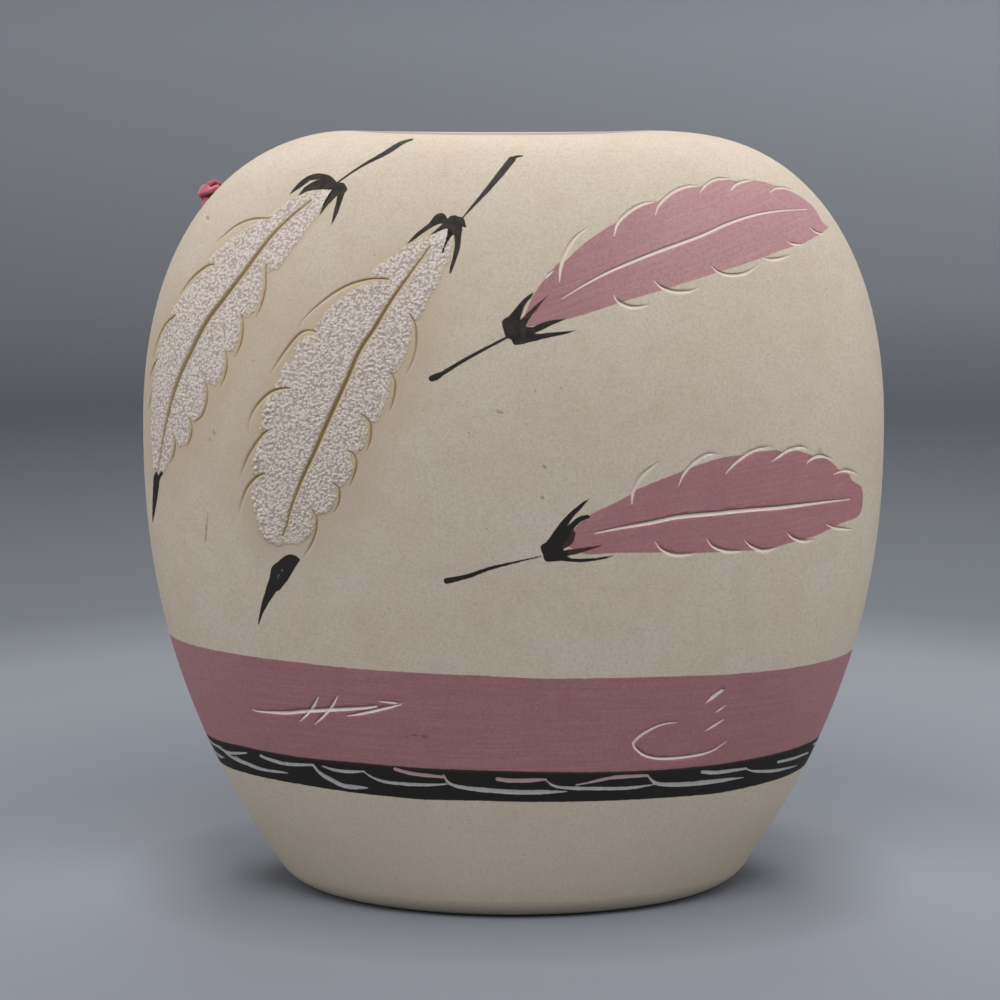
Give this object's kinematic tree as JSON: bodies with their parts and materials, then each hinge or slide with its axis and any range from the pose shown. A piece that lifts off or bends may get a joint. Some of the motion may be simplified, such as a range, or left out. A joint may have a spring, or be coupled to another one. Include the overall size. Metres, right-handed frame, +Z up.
{
  "type": "vase",
  "caption": "Flattened oval ceramic pillow vase with a low oval mouth, painted lower bands and a dyed suede lace knotted through its shoulder.",
  "frame": {"origin": "centre of the body's foot, on the surface that the vase stands on", "axes": "+Z up through the mouth, +X along the width, -Y towards the front"},
  "size_m": [0.23, 0.112, 0.235],
  "materials": {
    "clay": "unglazed cream earthenware, smooth, painted with matt mauve and black slip",
    "suede": "crimson dyed suede with a short nap"
  },
  "bodies": {
    "root": {"vase_body": "clay", "lace_stitch": "suede", "lace_knot": "suede", "lace_tail_long": "suede", "lace_tail_short": "suede"}
  },
  "joints": []
}
